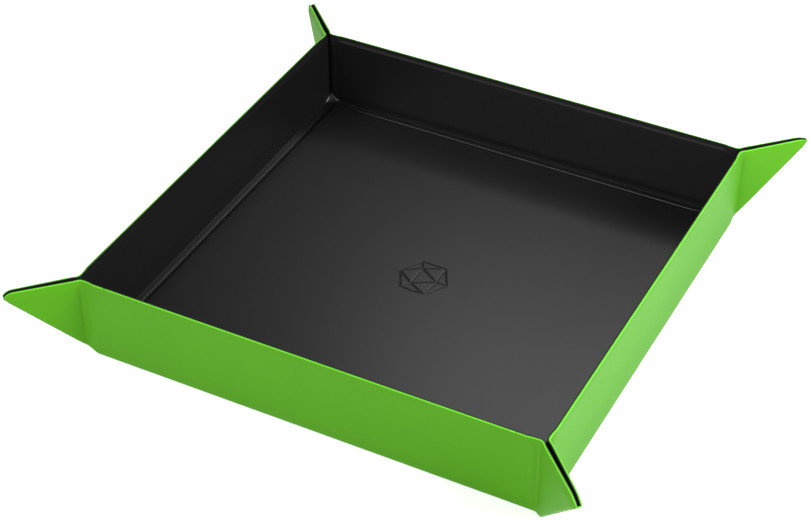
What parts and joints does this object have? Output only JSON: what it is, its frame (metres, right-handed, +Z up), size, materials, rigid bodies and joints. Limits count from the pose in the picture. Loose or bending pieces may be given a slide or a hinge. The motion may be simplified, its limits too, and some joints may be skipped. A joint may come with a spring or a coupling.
{
  "type": "folding dice tray",
  "caption": "Square folding dice tray: a laminated sheet creased into a floor and four walls, with pinched corner ears held by hidden magnets.",
  "frame": {"origin": "middle of the tray's underside, walls up", "axes": "+Z up, -Y towards the front wall, +X towards the right wall"},
  "size_m": [0.2704, 0.2704, 0.04],
  "materials": {
    "green_skin": "bright green fine-grained leather-like sheet, satin",
    "black_lining": "smooth charcoal leather-like lining, satin",
    "board": "plain grey-brown binder's board",
    "magnet": "nickel-plated disc"
  },
  "bodies": {
    "floor": {"floor_skin": "green_skin", "floor_board": "board", "floor_lining": "black_lining"},
    "front_wall": {"front_wall_skin": "green_skin", "front_wall_board": "board", "front_wall_lining": "black_lining"},
    "front_leaf_right": {"front_leaf_right_skin": "green_skin", "front_leaf_right_board": "board", "front_leaf_right_lining": "black_lining", "front_leaf_right_magnet": "magnet"},
    "front_leaf_left": {"front_leaf_left_skin": "green_skin", "front_leaf_left_board": "board", "front_leaf_left_lining": "black_lining", "front_leaf_left_magnet": "magnet"},
    "front_right_fold": {"front_right_fold_skin": "green_skin", "front_right_fold_lining": "black_lining"},
    "right_wall": {"right_wall_skin": "green_skin", "right_wall_board": "board", "right_wall_lining": "black_lining"},
    "right_leaf_right": {"right_leaf_right_skin": "green_skin", "right_leaf_right_board": "board", "right_leaf_right_lining": "black_lining", "right_leaf_right_magnet": "magnet"},
    "right_leaf_left": {"right_leaf_left_skin": "green_skin", "right_leaf_left_board": "board", "right_leaf_left_lining": "black_lining", "right_leaf_left_magnet": "magnet"},
    "back_right_fold": {"back_right_fold_skin": "green_skin", "back_right_fold_lining": "black_lining"},
    "back_wall": {"back_wall_skin": "green_skin", "back_wall_board": "board", "back_wall_lining": "black_lining"},
    "back_leaf_right": {"back_leaf_right_skin": "green_skin", "back_leaf_right_board": "board", "back_leaf_right_lining": "black_lining", "back_leaf_right_magnet": "magnet"},
    "back_leaf_left": {"back_leaf_left_skin": "green_skin", "back_leaf_left_board": "board", "back_leaf_left_lining": "black_lining", "back_leaf_left_magnet": "magnet"},
    "back_left_fold": {"back_left_fold_skin": "green_skin", "back_left_fold_lining": "black_lining"},
    "left_wall": {"left_wall_skin": "green_skin", "left_wall_board": "board", "left_wall_lining": "black_lining"},
    "left_leaf_right": {"left_leaf_right_skin": "green_skin", "left_leaf_right_board": "board", "left_leaf_right_lining": "black_lining", "left_leaf_right_magnet": "magnet"},
    "left_leaf_left": {"left_leaf_left_skin": "green_skin", "left_leaf_left_board": "board", "left_leaf_left_lining": "black_lining", "left_leaf_left_magnet": "magnet"},
    "front_left_fold": {"front_left_fold_skin": "green_skin", "front_left_fold_lining": "black_lining"}
  },
  "joints": [
    {"name": "front_wall_fold", "type": "hinge", "parent": "floor", "child": "front_wall", "pos_m": [0, -0.11, 0], "axis": [1, 0, 0], "range_deg": [0, 90]},
    {"name": "front_leaf_right_fold", "type": "hinge", "parent": "front_wall", "child": "front_leaf_right", "pos_m": [0.10738, -0.1078, 0.02], "axis": [0, 0, 1], "range_deg": [0, 45]},
    {"name": "front_leaf_left_fold", "type": "hinge", "parent": "front_wall", "child": "front_leaf_left", "pos_m": [-0.10738, -0.1078, 0.02], "axis": [0, 0, -1], "range_deg": [0, 45]},
    {"name": "front_right_ear_fold", "type": "hinge", "parent": "front_leaf_right", "child": "front_right_fold", "pos_m": [0.12057, -0.1241, 0.02177], "axis": [-0.5, 0.5, -0.7071], "range_deg": [0, 90]},
    {"name": "right_wall_fold", "type": "hinge", "parent": "floor", "child": "right_wall", "pos_m": [0.11, 0, 0], "axis": [0, 1, 0], "range_deg": [0, 90]},
    {"name": "right_leaf_right_fold", "type": "hinge", "parent": "right_wall", "child": "right_leaf_right", "pos_m": [0.1078, 0.10738, 0.02], "axis": [0, 0, 1], "range_deg": [0, 45]},
    {"name": "right_leaf_left_fold", "type": "hinge", "parent": "right_wall", "child": "right_leaf_left", "pos_m": [0.1078, -0.10738, 0.02], "axis": [0, 0, -1], "range_deg": [0, 45]},
    {"name": "back_right_ear_fold", "type": "hinge", "parent": "right_leaf_right", "child": "back_right_fold", "pos_m": [0.1241, 0.12057, 0.02177], "axis": [-0.5, -0.5, -0.7071], "range_deg": [0, 90]},
    {"name": "back_wall_fold", "type": "hinge", "parent": "floor", "child": "back_wall", "pos_m": [0, 0.11, 0], "axis": [-1, 0, 0], "range_deg": [0, 90]},
    {"name": "back_leaf_right_fold", "type": "hinge", "parent": "back_wall", "child": "back_leaf_right", "pos_m": [-0.10738, 0.1078, 0.02], "axis": [0, 0, 1], "range_deg": [0, 45]},
    {"name": "back_leaf_left_fold", "type": "hinge", "parent": "back_wall", "child": "back_leaf_left", "pos_m": [0.10738, 0.1078, 0.02], "axis": [0, 0, -1], "range_deg": [0, 45]},
    {"name": "back_left_ear_fold", "type": "hinge", "parent": "back_leaf_right", "child": "back_left_fold", "pos_m": [-0.12057, 0.1241, 0.02177], "axis": [0.5, -0.5, -0.7071], "range_deg": [0, 90]},
    {"name": "left_wall_fold", "type": "hinge", "parent": "floor", "child": "left_wall", "pos_m": [-0.11, 0, 0], "axis": [0, -1, 0], "range_deg": [0, 90]},
    {"name": "left_leaf_right_fold", "type": "hinge", "parent": "left_wall", "child": "left_leaf_right", "pos_m": [-0.1078, -0.10738, 0.02], "axis": [0, 0, 1], "range_deg": [0, 45]},
    {"name": "left_leaf_left_fold", "type": "hinge", "parent": "left_wall", "child": "left_leaf_left", "pos_m": [-0.1078, 0.10738, 0.02], "axis": [0, 0, -1], "range_deg": [0, 45]},
    {"name": "front_left_ear_fold", "type": "hinge", "parent": "left_leaf_right", "child": "front_left_fold", "pos_m": [-0.1241, -0.12057, 0.02177], "axis": [0.5, 0.5, -0.7071], "range_deg": [0, 90]}
  ],
  "couplings": [
    {"joint": "front_leaf_right_fold", "follows": "front_wall_fold", "ratio": 0.5},
    {"joint": "front_leaf_left_fold", "follows": "front_wall_fold", "ratio": 0.5},
    {"joint": "front_right_ear_fold", "follows": "front_wall_fold", "ratio": 1},
    {"joint": "right_wall_fold", "follows": "front_wall_fold", "ratio": 1},
    {"joint": "right_leaf_right_fold", "follows": "front_wall_fold", "ratio": 0.5},
    {"joint": "right_leaf_left_fold", "follows": "front_wall_fold", "ratio": 0.5},
    {"joint": "back_right_ear_fold", "follows": "front_wall_fold", "ratio": 1},
    {"joint": "back_wall_fold", "follows": "front_wall_fold", "ratio": 1},
    {"joint": "back_leaf_right_fold", "follows": "front_wall_fold", "ratio": 0.5},
    {"joint": "back_leaf_left_fold", "follows": "front_wall_fold", "ratio": 0.5},
    {"joint": "back_left_ear_fold", "follows": "front_wall_fold", "ratio": 1},
    {"joint": "left_wall_fold", "follows": "front_wall_fold", "ratio": 1},
    {"joint": "left_leaf_right_fold", "follows": "front_wall_fold", "ratio": 0.5},
    {"joint": "left_leaf_left_fold", "follows": "front_wall_fold", "ratio": 0.5},
    {"joint": "front_left_ear_fold", "follows": "front_wall_fold", "ratio": 1}
  ]
}
